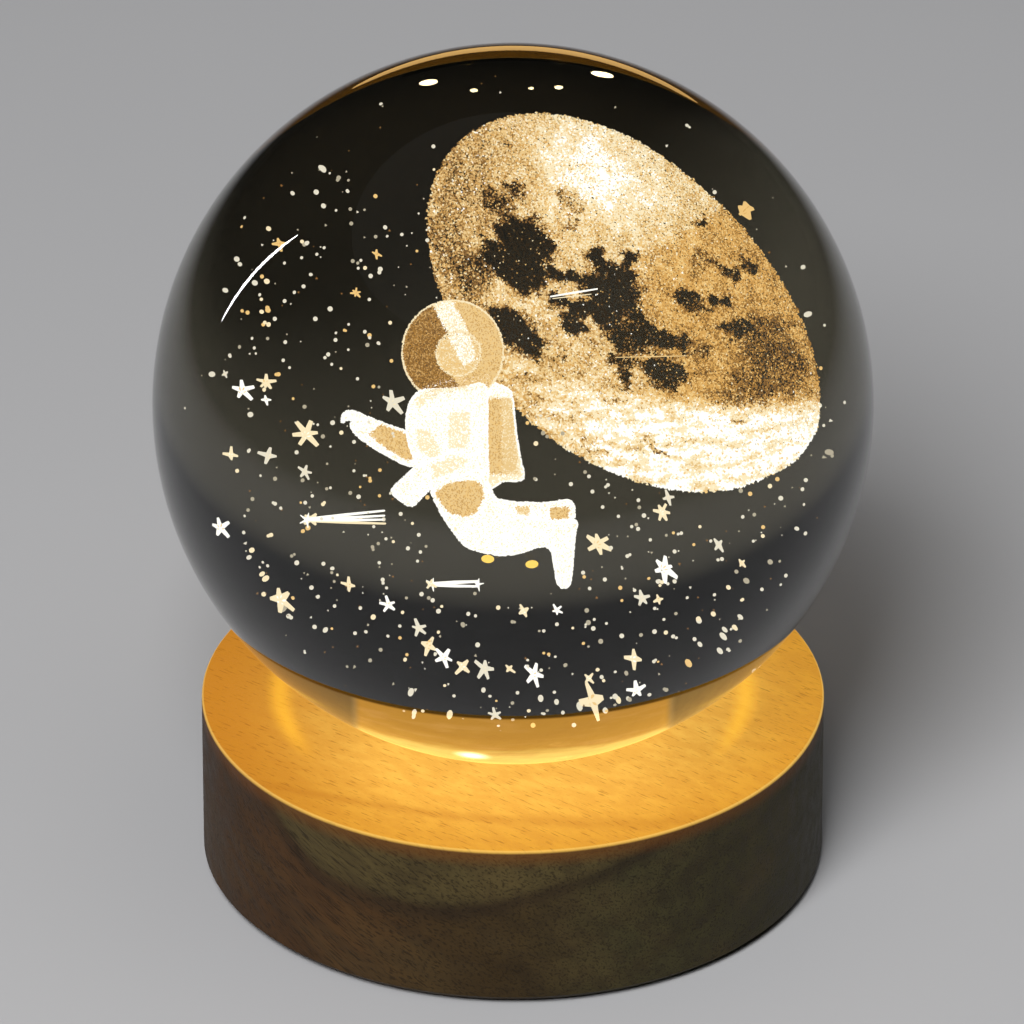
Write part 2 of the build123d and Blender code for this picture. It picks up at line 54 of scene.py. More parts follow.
# The camera, at the photograph's angle
eye_angle = math.radians(29.5)
eye_distance = 1.25
eye_target = Vector((-0.0001, 0.0, 0.0430))
camera = bpy.data.objects.new("camera", bpy.data.cameras.new("camera"))
camera.data.sensor_width = 36.0
camera.data.lens = 394.2
camera.data.clip_end = 20.0
camera.location = eye_target + eye_distance * Vector((0, -math.cos(eye_angle), math.sin(eye_angle)))
camera.rotation_euler = (math.pi / 2 - eye_angle, 0, 0)
bpy.context.scene.collection.objects.link(camera)
bpy.context.scene.camera = camera
bpy.context.scene.view_settings.view_transform = "Standard"


# Small helpers
def place(piece):
    bpy.context.scene.collection.objects.link(piece)
    return piece


def srgb(red, green, blue):
    """A colour as it is seen, from 0 to 255, as the linear colour that a socket takes."""
    out = []
    for value in (red, green, blue):
        value = value / 255
        out.append(value / 12.92 if value <= 0.04045 else ((value + 0.055) / 1.055) ** 2.4)
    return (*out, 1.0)


def new_material(name):
    material = bpy.data.materials.new(name)
    material.use_nodes = True
    tree = material.node_tree
    return material, tree, tree.nodes["Principled BSDF"]


def add(tree, kind, **settings):
    node = tree.nodes.new(kind)
    for key, value in settings.items():
        setattr(node, key, value)
    return node


def feed(tree, value, socket):
    """Another node's socket is linked to this one, and a plain value is set on it."""
    if isinstance(value, bpy.types.NodeSocket):
        tree.links.new(value, socket)
    else:
        socket.default_value = value


def settle(tree, node, values):
    """A node's sockets by their names."""
    for name, value in values.items():
        feed(tree, value, node.inputs[name])


def operate(tree, operation, first, second=0.0):
    """A math node on sockets or plain numbers."""
    node = add(tree, "ShaderNodeMath", operation=operation)
    feed(tree, first, node.inputs[0])
    feed(tree, second, node.inputs[1])
    return node.outputs[0]


def times(tree, first, second):
    return operate(tree, "MULTIPLY", first, second)


def measure(tree, operation, first, second=None):
    """A vector math node on sockets or plain vectors."""
    node = add(tree, "ShaderNodeVectorMath", operation=operation)
    feed(tree, first, node.inputs[0])
    if second is not None:
        feed(tree, second, node.inputs["Scale" if operation == "SCALE" else 1])
    return node.outputs["Value" if operation in ("DOT_PRODUCT", "LENGTH", "DISTANCE") else "Vector"]


def object_places(tree):
    return add(tree, "ShaderNodeTexCoord").outputs["Object"]


def apart(tree, places):
    """The places' x, y and z."""
    node = add(tree, "ShaderNodeSeparateXYZ")
    tree.links.new(places, node.inputs[0])
    return node.outputs


def steps(tree, value, low, high, out_low=0.0, out_high=1.0):
    """A smooth step of a value between low and high."""
    node = add(tree, "ShaderNodeMapRange", interpolation_type="SMOOTHSTEP")
    limits = {"From Min": low, "From Max": high, "To Min": out_low, "To Max": out_high}
    settle(tree, node, {"Value": value, **limits})
    return node.outputs["Result"]


def mix(tree, share, first, second):
    """A colour between two colours, with this share of the second."""
    node = add(tree, "ShaderNodeMix", data_type="RGBA")
    for index, value in ((0, share), (6, first), (7, second)):
        feed(tree, value, node.inputs[index])
    return node.outputs[2]


def layered(tree, colour, layers):
    """A colour under others, each with its share."""
    for share, over in layers:
        colour = mix(tree, share, colour, srgb(*over))
    return colour


def grain(tree, coordinates, size, turn=(0, 0, 0), detail=3.0, rough=0.5):
    """Noise of this size in metres, a size along each turned axis."""
    mapping = add(tree, "ShaderNodeMapping", vector_type="TEXTURE")
    settle(tree, mapping, {"Vector": coordinates, "Rotation": turn, "Scale": size})
    texture = add(tree, "ShaderNodeTexNoise")
    looks = {"Scale": 1.0, "Detail": detail, "Roughness": rough}
    settle(tree, texture, {"Vector": mapping.outputs[0], **looks})
    return texture.outputs["Fac"]


def bump(tree, shader, height, distance, strength=1.0):
    node = add(tree, "ShaderNodeBump")
    settle(tree, node, {"Distance": distance, "Strength": strength, "Height": height})
    tree.links.new(node.outputs[0], shader.inputs["Normal"])


def dress(node, material):
    nodes[node].data.materials.clear()
    nodes[node].data.materials.append(material)


def revolved(profile, sides):
    """A profile of radii and heights, from the axis outward, turned round the upright axis."""
    points, faces = [(0, 0, profile[0][1])], []
    for radius, height in profile[1:]:
        for side in range(sides):
            turn = 2 * math.pi * side / sides
            points.append((radius * math.cos(turn), radius * math.sin(turn), height))
    for side in range(sides):
        after = (side + 1) % sides
        faces.append((0, 1 + after, 1 + side))
        for low in range(1, len(points) - sides, sides):
            faces.append((low + side, low + after, low + after + sides, low + side + sides))
    return points, faces


def solid(name, points, faces, material, smooth=()):
    """A piece of these points and faces, smooth where a face has as many corners as smooth lists."""
    mesh = bpy.data.meshes.new(name)
    mesh.from_pydata([tuple(point) for point in points], [], faces)
    mesh.materials.append(material)
    mesh.polygons.foreach_set("use_smooth", [len(face) in smooth for face in faces])
    return place(bpy.data.objects.new(name, mesh))


# The line of sight into the glass
ball_low, ball_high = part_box("crystal_ball")
ball_centre = (ball_low + ball_high) / 2
ball_radius = (ball_high.z - ball_low.z) / 2
glass_index = 1.517
picture_angle = math.radians(26.0)
front = np.array([-math.sin(picture_angle), -math.cos(picture_angle), 0.0])
right = np.array([math.cos(picture_angle), -math.sin(picture_angle), 0.0])
upward = np.array([0.0, 0.0, 1.0])
eye_ahead = np.array([0.0, math.cos(eye_angle), -math.sin(eye_angle)])
eye_up = np.array([0.0, math.sin(eye_angle), math.cos(eye_angle)])
eye_right = np.array([1.0, 0.0, 0.0])
centre = np.array(ball_centre)
ball_in_mm = 40.0
# the photograph: the ball's centre, and pixels to a millimetre of its face
photo_centre = (509, 401)
photo_scale = 9.018


def sight_line(across, above):
    """The line of sight that enters at this place on the ball's face, in millimetres: where it is nearest
    to the ball's centre, and its direction inside the glass."""
    offset = eye_right * across + eye_up * above
    entry = offset - eye_ahead * math.sqrt(ball_in_mm**2 - offset @ offset)
    outward = entry / ball_in_mm
    cos_outside = -(eye_ahead @ outward)
    cos_inside = math.sqrt(1 - (1 - cos_outside**2) / glass_index**2)
    inside = eye_ahead / glass_index + outward * (cos_outside / glass_index - cos_inside)
    return entry - inside * (entry @ inside), inside


def seen(across, above, depth):
    """What is seen at this place of the ball's face, where it lies at this depth: right, up and to the
    front of the ball's centre, in millimetres."""
    nearest, inside = sight_line(across, above)
    spot = nearest + inside * ((depth - nearest @ front) / (inside @ front))
    return np.array([spot @ right, spot @ upward, depth])


def seen_along(across, above, beyond):
    """The same, where it lies this far beyond the middle of its line of sight."""
    nearest, inside = sight_line(across, above)
    spot = nearest + inside * beyond
    return np.array([spot @ right, spot @ upward, spot @ front])


def pixel(across, down, depth):
    """What is seen at this pixel of the photograph, where it lies at this depth."""
    return seen((across - photo_centre[0]) / photo_scale, (photo_centre[1] - down) / photo_scale, depth)


def to_world(local):
    """Places right, up and front of the ball's centre in millimetres, as metres in the row's frame."""
    local = np.atleast_2d(local)
    return centre + (local[:, :1] * right + local[:, 1:2] * upward + local[:, 2:] * front) * mm


# Engraved specks
# what glows inside is brighter by as much as the way out through the glass takes away
# the glass is painted dark: painted shade that stands in for the dark surroundings seen through it
painted_glass_shade = (0.150, 0.138, 0.098)
tint_gain = 1 / math.sqrt(min(painted_glass_shade))
tint_share = [math.sqrt(min(painted_glass_shade) / channel) for channel in painted_glass_shade]


def glow(name, colour, strength):
    material, tree, shader = new_material(name)
    tree.nodes.remove(shader)
    emission = add(tree, "ShaderNodeEmission")
    settle(tree, emission, {"Color": colour, "Strength": strength})
    tree.links.new(emission.outputs[0], tree.nodes["Material Output"].inputs["Surface"])
    return material


def speck_glow(name, red, green, blue, strength=1.0):
    """A glowing colour that is seen as written through the glass, which is painted dark."""
    shares = zip(srgb(red, green, blue), tint_share)
    colour = (*(channel * share for channel, share in shares), 1.0)
    return glow(name, colour, strength * tint_gain)


# the specks' glow is painted light: it stands in for the lamp's light that the engraving scatters
speck_colours = [
    speck_glow("speck_white", 255, 252, 240, 1.25),
    speck_glow("speck_cream", 255, 236, 192, 1.05),
    speck_glow("speck_sand", 243, 208, 144),
    speck_glow("speck_tan", 210, 166, 100),
    speck_glow("speck_brown", 140, 103, 58),
    speck_glow("speck_umber", 54, 43, 28),
    speck_glow("speck_gold", 248, 206, 132),
    speck_glow("speck_amber", 226, 174, 96),
    speck_glow("speck_bronze", 172, 126, 64),
    speck_glow("speck_pale", 240, 232, 208),
    speck_glow("speck_dim", 186, 176, 150),
]
tetra_corners = np.array([[1, 1, 1], [1, -1, -1], [-1, 1, -1], [-1, -1, 1]], float) / math.sqrt(3)
tetra_faces = np.array([[0, 1, 2], [0, 3, 1], [0, 2, 3], [1, 3, 2]])


def turned(count, random):
    """As many random turns, as matrices."""
    q = random.normal(size=(count, 4))
    q /= np.linalg.norm(q, axis=1)[:, None]
    w, x, y, z = q.T
    rows = [
        [1 - 2 * (y * y + z * z), 2 * (x * y - z * w), 2 * (x * z + y * w)],
        [2 * (x * y + z * w), 1 - 2 * (x * x + z * z), 2 * (y * z - x * w)],
        [2 * (x * z - y * w), 2 * (y * z + x * w), 1 - 2 * (x * x + y * y)],
    ]
    return np.array(rows).transpose(2, 0, 1)


def triangles(name, corners, faces, shades, material_list, body):
    """A piece of triangles: corners in metres, faces and a material index for each face."""
    mesh = bpy.data.meshes.new(name)
    mesh.from_pydata(corners, [], faces, shade_flat=False)
    for material in material_list:
        mesh.materials.append(material)
    mesh.polygons.foreach_set("material_index", np.asarray(shades, np.int32))
    mesh.update()
    mesh.validate()
    piece = place(bpy.data.objects.new(name, mesh))
    piece.visible_glossy = False
    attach(piece, body)
    return piece


def specks(name, local, reach, shade, random):
    """Tiny closed tetrahedra: a place, a reach in millimetres and an index of speck_colours each."""
    count = len(local)
    corners = np.einsum("nij,kj->nki", turned(count, random), tetra_corners)
    corners = corners * (np.asarray(reach)[:, None, None] * mm) + to_world(local)[:, None, :]
    faces = (tetra_faces[None] + 4 * np.arange(count)[:, None, None]).reshape(-1, 3)
    shades = np.repeat(np.asarray(shade), 4)
    return triangles(name, corners.reshape(-1, 3), faces, shades, speck_colours, "ball")


# The moon
moon_radius = 17.28
moon_rise = 4.2
moon_place = np.array([6.0, 6.44, -10.0])
moon_squeeze = 0.948
moon_bow = (moon_radius**2 + moon_rise**2) / (2 * moon_rise)
moon_pitch = 0.098
moon_reach = 18.2
# its outline's radius every 30 degrees, from the right and turning upward
moon_outline = (16.9, 16.1, 15.95, 16.7, 17.2, 17.1, 17.1, 17.1, 17.4, 17, 16.8, 17.8)
# seas: across, along, reach across, reach along, darkness, turn
seas = (
    (-8.6, 2.6, 2.3, 2.2, 1, 0), (-9.6, -0.1, 2.4, 1.6, 1, 0), (-11.4, 0.4, 1, 0.8, 0.6, 0),
    (-7, 3.9, 0.9, 0.8, 0.8, 0), (-6.9, 0.4, 0.6, 0.9, 0.7, 0), (-9.7, 7.1, 0.9, 0.6, 0.6, 20),
    (-11.2, 5.2, 1.6, 0.9, 0.45, 30), (-7.4, 5, 0.7, 0.4, 0.5, 0), (-13.2, -2.8, 1.4, 2.2, 0.38, 0),
    (-12, -1, 1, 0.8, 0.6, 0), (-15.3, -1.5, 1.2, 2.6, 0.22, 0), (-9.3, -5.8, 2.1, 1.9, 1.05, 0),
    (-8.4, -7.6, 0.9, 0.5, 0.6, 0), (-4.3, 1.5, 2.1, 0.65, 1, 8), (-0.9, 1.2, 2.3, 1.7, 1.05, 0),
    (-0.2, 2.8, 1.9, 1.4, 1, 0), (-1.9, 4.2, 0.8, 0.9, 0.9, 0), (0.9, 5.2, 1.1, 0.45, 1, 50),
    (-3.8, -1.1, 2.3, 0.8, 0.95, 5), (-4.2, -2.9, 0.9, 1.1, 0.9, 0), (-1.3, -1.2, 1.2, 1.1, 0.9, 0),
    (1.2, 0.3, 0.7, 1.2, 0.9, 0), (2.4, -1.8, 3.1, 1.15, 0.85, 0), (0.1, -3, 1.3, 1.1, 0.85, 0),
    (5.2, -1.6, 0.5, 1.3, 0.75, 0), (3.2, -5.1, 1.6, 1.4, 0.85, 10), (-0.3, -6, 0.7, 1.5, 0.75, 0),
    (1, -4.9, 1.6, 0.6, 0.55, 10), (-1.1, -5, 0.6, 0.4, 0.6, 0), (6, 2.9, 1.3, 0.7, 0.85, 0),
    (7, 2, 1.2, 0.4, 0.5, -10), (8.9, 3.3, 0.8, 0.5, 0.85, 20), (10, 6.2, 0.9, 0.8, 0.7, -30),
    (9, 6.8, 0.8, 0.4, 0.5, 0), (12.1, 7, 0.6, 0.5, 0.75, 0), (11.9, 8, 0.5, 0.4, 0.5, 0),
    (10.4, 0.7, 1.6, 0.7, 0.7, 15), (9.4, 0.2, 0.6, 0.5, 0.6, 0), (13.2, -1.8, 2.6, 2.4, 0.36, 0),
    (11.6, -4.6, 2.8, 1.2, 0.32, 0), (13.6, 1.6, 2, 0.8, 0.3, 0), (7.2, -1.9, 0.6, 0.4, 0.5, 0),
    (7.4, 10.9, 0.8, 0.35, 0.95, 45), (7.4, 7, 0.7, 0.8, 0.4, 0), (9, -6.6, 2.5, 0.8, 0.25, 0),
    (-4.4, 8.5, 1.2, 1, 0.35, 0), (-5.6, 8.6, 0.5, 0.5, 0.5, 0), (-4.1, 6.6, 0.7, 0.3, 0.45, 0),
    (0.9, -13.2, 0.55, 0.5, 0.9, 0), (0.5, -12.2, 0.6, 0.4, 0.45, 0), (8.6, -9.2, 0.4, 0.25, 0.5, 0),
    (-5.4, -6, 0.5, 0.3, 0.4, 0), (-1.8, -8.9, 1, 0.4, 0.3, 0), (-5, -14.8, 1.2, 0.4, 0.3, 0),
)


def fractal(across, along, level, rough, octaves):
    """Fractal noise over arrays of places."""
    pairs = zip(across, along)
    return np.array([noise.fractal(Vector((a, b, level)), rough, 2.0, octaves) for a, b in pairs])


def rising(value, width):
    return 1 / (1 + np.exp(-value / width))


def moon_light(across, along, random):
    """How bright the moon is, from 0 to about 1, and how golden."""
    value = np.full(len(across), 0.705)
    value += 0.30 * np.exp(-(((across + 2.5) / 7.0) ** 2) - ((along - 12.0) / 5.0) ** 2)
    band = rising(-8.6 + 0.14 * across - along, 0.5) * rising(across + 6.0, 2.0)
    value += 0.27 * band
    value -= 0.13 * rising(-12.2 - across, 0.9) * rising(9.0 - along, 1.5)
    value -= 0.10 * rising(across - 8.0, 1.5) * rising(3.0 - along, 1.5) * (1 - band)
    rough_across = across + 0.75 * fractal(across * 0.9, along * 0.9, 3.1, 0.7, 4)
    rough_along = along + 0.75 * fractal(across * 0.9, along * 0.9, 8.7, 0.7, 4)
    dark = np.zeros(len(across))
    for sea_across, sea_along, wide, high, depth, turn in seas:
        cos_turn, sin_turn = math.cos(math.radians(turn)), math.sin(math.radians(turn))
        a, b = rough_across - sea_across, rough_along - sea_along
        gap = ((a * cos_turn + b * sin_turn) / wide) ** 2 + ((b * cos_turn - a * sin_turn) / high) ** 2
        dark = np.maximum(dark, depth * np.clip(1.65 - 0.95 * gap, 0, 1))
    loose = random.normal(0, 0.16, len(across))
    dark = np.clip(dark + np.where((dark > 0.05) & (dark < 1.2), loose, 0.0), 0, 1)
    value -= 0.76 * dark
    value += (0.13 - 0.08 * dark) * fractal(across * 0.8, along * 0.8, 1.3, 0.6, 5)
    slanted = along - 0.33 * across
    streaks = fractal(across * 0.4, slanted * 1.2, 5.0, 0.6, 5)
    value += 0.27 * streaks * rising(-7.0 - along, 1.5)
    ridge = rising(6.0 + 0.85 * (across - 2.0) - along, 0.35) * rising(across - 1.8, 0.8) * (1 - band)
    value -= 0.03 * ridge + 0.10 * rising(-7.5 - across, 1.0) * rising(along - 3.0, 1.5)
    bright_top = np.exp(-(((across + 1.5) / 6.0) ** 2) - ((along - 12.0) / 4.0) ** 2)
    golden = 0.25 + 0.70 * ridge
    golden *= (1 - 0.85 * band) * (1 - 0.7 * bright_top)
    return value, golden


def make_moon():
    random = np.random.default_rng(11)
    steps_out = int(moon_reach / moon_pitch) + 1
    grid = np.arange(-steps_out, steps_out + 1)
    across, along = (axis.reshape(-1).astype(float) for axis in np.meshgrid(grid, grid))
    across = (across + random.uniform(-0.5, 0.5, len(across))) * moon_pitch
    along = (along + random.uniform(-0.5, 0.5, len(along))) * moon_pitch
    angle = np.degrees(np.arctan2(along, across)) % 360
    outline = np.interp(angle, np.arange(13) * 30, moon_outline + moon_outline[:1])
    inside = np.hypot(across, along) < outline + random.normal(0, 0.05, len(across))
    across, along = across[inside], along[inside]
    light, golden = moon_light(across, along, random)
    keep = random.uniform(size=len(light)) < np.clip(0.45 + 1.0 * light, 0, 1)
    across, along, light, golden = across[keep], along[keep], light[keep], golden[keep]
    mottle = 0.05 + 0.13 * np.exp(-(((light - 0.50) / 0.22) ** 2))
    level = light + random.normal(0, 1, len(light)) * mottle
    sparks = (light < 0.3) & (random.uniform(size=len(light)) < 0.035)
    level = np.where(sparks, random.uniform(0.5, 1.0, len(light)), level)
    # from white to umber by brightness, and from gold to bronze where it is golden
    shade = np.select([level > limit for limit in (0.95, 0.78, 0.61, 0.44, 0.25)], [0, 1, 2, 3, 4], 5)
    warm = random.uniform(size=len(light)) < golden
    shade = np.where(warm, np.array([6, 6, 7, 8, 4, 5])[shade], shade)
    flat = np.minimum(across**2 + along**2, moon_radius**2)
    height = np.sqrt(moon_bow**2 - flat) - moon_bow + moon_rise
    spots = np.stack([across, along * moon_squeeze, height - random.uniform(0, 0.3, len(across))], axis=1)
    spots += moon_place
    reaches = 0.078 + 0.062 * np.clip(light, 0, 1)
    order = random.permutation(len(spots))
    pieces = []
    for part, chosen in enumerate(np.array_split(order, 3)):
        name = f"moon_specks_{part + 1}"
        pieces.append(specks(name, spots[chosen], reaches[chosen], shade[chosen], random))
    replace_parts(pieces[0], "engraved_moon")


make_moon()


# The spaceman
# each form's name, depth and half thickness in millimetres, colour, and outline in the photograph's pixels
spaceman_forms = (
    ("far_arm", 0.2, 0.8, "white", (
        (349, 430), (346, 419), (357, 412), (372, 417), (388, 423), (403, 428), (414, 432), (418, 450),
        (414, 464), (400, 462), (384, 454), (367, 444),
    )),
    ("far_hand", 0.2, 0.5, "white", (
        (337, 420), (337, 412), (343, 407), (353, 409), (362, 415), (356, 428), (350, 424), (347, 418),
        (342, 417),
    )),
    ("far_leg", 0.6, 0.6, "white", (
        (488, 497), (510, 499), (540, 500), (567, 498), (569, 518), (540, 522), (500, 518),
    )),
    ("pack", 1.2, 1.3, "cream", (
        (478, 379), (492, 381), (505, 387), (509, 396), (512, 425), (516, 452), (520, 476), (500, 479),
        (478, 481),
    )),
    ("torso", 2.2, 2.8, "white", (
        (414, 464), (406, 447), (402, 427), (403, 408), (410, 393), (426, 382), (446, 377), (468, 375),
        (482, 379), (484, 400), (484, 440), (484, 479), (470, 479), (445, 481), (424, 474),
    )),
    ("thigh", 2.6, 1.7, "white", (
        (427, 486), (445, 477), (470, 474), (483, 478), (489, 490), (497, 502), (508, 511), (526, 515),
        (548, 518), (572, 518), (571, 535), (569, 560), (567, 580), (560, 586), (553, 580), (550, 563),
        (546, 547), (534, 545), (515, 551), (495, 553), (475, 549), (460, 543), (447, 527), (435, 508),
    )),
    ("near_arm", 5.0, 0.8, "white", (
        (387, 488), (398, 476), (412, 464), (430, 455), (452, 450), (470, 454), (474, 466), (460, 474),
        (445, 478), (432, 484), (421, 492), (408, 504), (396, 498),
    )),
)
# zones of another colour: form, colour, outline
spaceman_zones = (
    ("far_arm", "tan", ((364, 431), (376, 421), (404, 432), (413, 455), (402, 457), (382, 446))),
    ("far_leg", "tan", ((546, 505), (565, 504), (565, 516), (547, 517))),
    ("far_leg", "sand", ((512, 504), (526, 504), (525, 513), (514, 512))),
    ("pack", "white", ((470, 370), (520, 370), (520, 393), (508, 395), (498, 394), (470, 393))),
    ("pack", "tan", ((482, 397), (497, 396), (499, 471), (484, 472))),
    ("pack", "sand", ((497, 396), (508, 397), (515, 471), (499, 472))),
    ("torso", "cream", (
        (412, 396), (426, 386), (446, 381), (470, 380), (462, 388), (440, 390), (424, 398), (414, 410),
    )),
    ("torso", "cream", ((446, 410), (466, 410), (466, 446), (444, 446))),
    ("torso", "cream", ((412, 426), (426, 428), (438, 450), (430, 458), (414, 446))),
    ("thigh", "tan", (
        (431, 490), (444, 481), (464, 477), (478, 482), (480, 496), (472, 510), (460, 515), (447, 511),
        (437, 502),
    )),
    ("near_arm", "cream", ((426, 462), (452, 454), (466, 458), (448, 470), (430, 476))),
)
helmet_middle = np.array([449.0, 350.0])
helmet_reach = 51.0
visor = (
    (427, 300), (436, 317), (445, 334), (436, 342), (432, 352), (436, 363), (446, 373), (456, 383),
    (440, 402), (400, 402), (390, 349), (400, 305),
)
helmet_band = (
    (427, 297), (447, 297), (459, 318), (470, 342), (474, 356), (462, 364), (450, 342), (436, 318),
)
pod_middle = np.array([455.0, 352.0])
pod_reach = 21.5
seam_width = 1.6
suit_speck = 0.10
back_speck = 0.09
# shares of speck_colours in each colour of the suit
suit_shades = {
    "white": (0, 0, 0, 0, 0, 0, 1),
    "cream": (1, 0, 1, 1),
    "sand": (2, 1, 2, 2),
    "tan": (2, 6, 2, 3),
}


def rounded(path, count=6):
    """A smooth closed line through the path's corners."""
    path = np.array(path, float)
    p0, p1, p2, p3 = (np.roll(path, shift, axis=0) for shift in (1, 0, -1, -2))
    parts = []
    for t in np.arange(count) / count:
        square = (2 * p0 - 5 * p1 + 4 * p2 - p3) * t**2
        cube = (3 * p1 - p0 - 3 * p2 + p3) * t**3
        parts.append(0.5 * (2 * p1 + (p2 - p0) * t + square + cube))
    return np.array(parts).transpose(1, 0, 2).reshape(-1, 2)


def inside_line(places, line):
    """Which places lie inside a closed line, and how far each is from it."""
    x, y = places[:, :1], places[:, 1:]
    one, two = line, np.roll(line, -1, axis=0)
    crosses = (one[:, 1] > y) != (two[:, 1] > y)
    rise = np.where(one[:, 1] == two[:, 1], 1.0, two[:, 1] - one[:, 1])
    left = x < (two[:, 0] - one[:, 0]) * (y - one[:, 1]) / rise + one[:, 0]
    inside = (crosses & left).sum(axis=1) % 2 == 1
    side = two - one
    share = ((places[:, None] - one) * side).sum(axis=2) / np.maximum((side**2).sum(axis=1), 1e-9)
    nearest = one + np.clip(share, 0, 1)[..., None] * side
    gap = np.linalg.norm(places[:, None] - nearest, axis=2).min(axis=1)
    return inside, gap


def spread(line, pitch, random):
    """Places spread over a closed line's inside, a pitch apart, and their distance from the line."""
    low, high = line.min(axis=0), line.max(axis=0)
    grid = np.meshgrid(np.arange(low[0], high[0], pitch), np.arange(low[1], high[1], pitch))
    places = np.stack([axis.reshape(-1) for axis in grid], axis=1)
    places += random.uniform(-0.5, 0.5, places.shape) * pitch
    inside, gap = inside_line(places, line)
    return places[inside], gap[inside]


def swelling(gap, widest):
    return np.sqrt(1 - (1 - np.clip(gap / widest, 0, 1)) ** 2)


def bulging(places, gap, depth, half, widest, random):
    """Specks on the near and the far face of a rounded form, closer where it turns away: their places
    and, for each, the number of the place it belongs to."""
    low, high = half * swelling(gap - 0.5, widest), half * swelling(gap + 0.5, widest)
    count = np.clip(np.round((high - low) / 0.17), 1, 8).astype(int)
    owner = np.repeat(np.arange(len(places)), count)
    share = np.where(count[owner] > 1, random.uniform(size=len(owner)), 0.5)
    reach = low[owner] + (high - low)[owner] * share
    spots = [pixel(*places[k], depth + r) for k, r in zip(owner, reach)]
    spots += [pixel(*places[k], depth - r) for k, r in zip(owner, reach)]
    return np.array(spots), owner


def make_spaceman():
    random = np.random.default_rng(5)
    spots, shades, reaches = [], [], []
    for name, depth, half, colour, path in spaceman_forms:
        places, gap = spread(rounded(path), 1.0, random)
        swelled, owner = bulging(places, gap, depth, half, min(gap.max(), 16.0), random)
        shade = random.choice(suit_shades[colour], len(places))
        loose = places + random.normal(0, 0.7, places.shape)
        for form, zone_colour, zone in spaceman_zones:
            if form == name:
                chosen = inside_line(loose, np.array(zone, float))[0]
                shade = np.where(chosen, random.choice(suit_shades[zone_colour], len(places)), shade)
        shade = np.where(gap < seam_width, 0, shade)
        spots.append(swelled)
        shades.append(np.tile(shade[owner], 2))
        reaches.append(np.full(len(swelled), suit_speck))
    # the helmet
    turns = 2 * math.pi * np.arange(60) / 60
    circle = np.stack([np.cos(turns), np.sin(turns)], axis=1)
    places, gap = spread(helmet_middle + helmet_reach * circle, 1.0, random)
    swelled, owner = bulging(places, gap, 2.0, 3.8, helmet_reach, random)
    loose = places + random.normal(0, 0.6, places.shape)
    clear = inside_line(loose, np.array(visor, float))[0]
    banded = inside_line(loose, np.array(helmet_band, float))[0]
    pod_gap = np.linalg.norm(loose - pod_middle, axis=1)
    shade = random.choice([2, 6, 2, 2, 3], len(places))
    shade = np.where(clear, random.choice([3, 4, 8, 8, 4], len(places)), shade)
    shade = np.where(banded, random.choice([0, 1], len(places)), shade)
    shade = np.where((pod_gap < 21) & ~banded, random.choice([2, 2, 1, 6], len(places)), shade)
    shade = np.where(abs(pod_gap - pod_reach) < 1.1, 1, shade)
    shade = np.where(gap < seam_width, 1, shade)
    kept = ~clear | (random.uniform(size=len(places)) < 0.88) | (gap < seam_width)
    back_clear, back_plain = random.choice([4, 5, 4, 3], len(places)), random.choice([3, 2], len(places))
    back_shade = np.where(clear, back_clear, back_plain)
    back_kept = random.uniform(size=len(places)) < np.where(clear, 0.35, 0.9)
    near, far = swelled[: len(owner)], swelled[len(owner) :]
    near[:, 2] += 0.35 * np.sqrt(np.clip(1 - (pod_gap[owner] / pod_reach) ** 2, 0, 1))
    kept, back_kept = kept[owner], back_kept[owner]
    spots += [near[kept], far[back_kept]]
    shades += [shade[owner][kept], back_shade[owner][back_kept]]
    reaches += [np.full(kept.sum(), suit_speck), np.full(back_kept.sum(), back_speck)]
    spots, reaches, shades = np.vstack(spots), np.concatenate(reaches), np.concatenate(shades)
    order = random.permutation(len(spots))
    for part, chosen in enumerate(np.array_split(order, 2)):
        name = f"spaceman_specks_{part + 1}"
        piece = specks(name, spots[chosen], reaches[chosen], shades[chosen], random)
    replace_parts(piece, "engraved_astronaut")


make_spaceman()


# Stars, dust and meteors
# right and up on the ball's face in millimetres, reach and number of arms, as the solids have them
stars = (
    (-30, 1.6, 0.95, 5), (-23.2, -3.2, 0.95, 6), (-22.8, -7.6, 0.75, 5), (-22.8, -12.8, 0.55, 4),
    (-32.4, -13.6, 0.9, 5), (-25.6, -21.6, 1.35, 5), (-13.6, 0.4, 0.85, 5), (-17.2, 12, 0.8, 6),
    (-26, 18, 0.85, 4), (-15.2, 16.8, 0.6, 4), (-31.6, 3.2, 0.5, 4), (-28, 2.8, 0.55, 5),
    (-27.2, 0.4, 0.5, 4), (-31.2, -5.6, 0.6, 4), (-27.6, -5.6, 0.6, 4), (-18, -20, 0.75, 4),
    (-14, -22.4, 0.55, 5), (-9.2, -20, 0.5, 4), (-10.4, -24.8, 0.8, 5), (-9.6, -27.2, 0.6, 4),
    (-7.6, -28, 0.95, 5), (-5.6, -29.2, 0.7, 4), (-3.2, -29.6, 0.7, 5), (-0.4, -29.2, 0.6, 4),
    (2.4, -30.4, 0.65, 5), (8.4, -30.4, 0.6, 4), (-2, -34.4, 0.65, 5), (9.2, -33.6, 0.8, 4),
    (13.6, -31.6, 1.05, 5), (13.6, -28.4, 0.75, 4), (14.4, -21.6, 0.7, 5), (16, -21.6, 0.6, 4),
    (17.2, -18.4, 0.85, 6), (16.4, -12, 0.85, 6), (17.2, -10.4, 0.6, 4), (9.6, -15.6, 0.95, 6),
    (4.8, -22.8, 0.6, 5), (1.2, -23.2, 0.55, 4), (22.8, -15.6, 0.6, 4), (25.2, -17.6, 0.55, 4),
    (26.8, 22.8, 0.8, 5),
)
star_depth_spread = 13.0
# the few stars above this height are small and golden
high_up = 11.0
golden_angle = math.pi * (3 - math.sqrt(5))


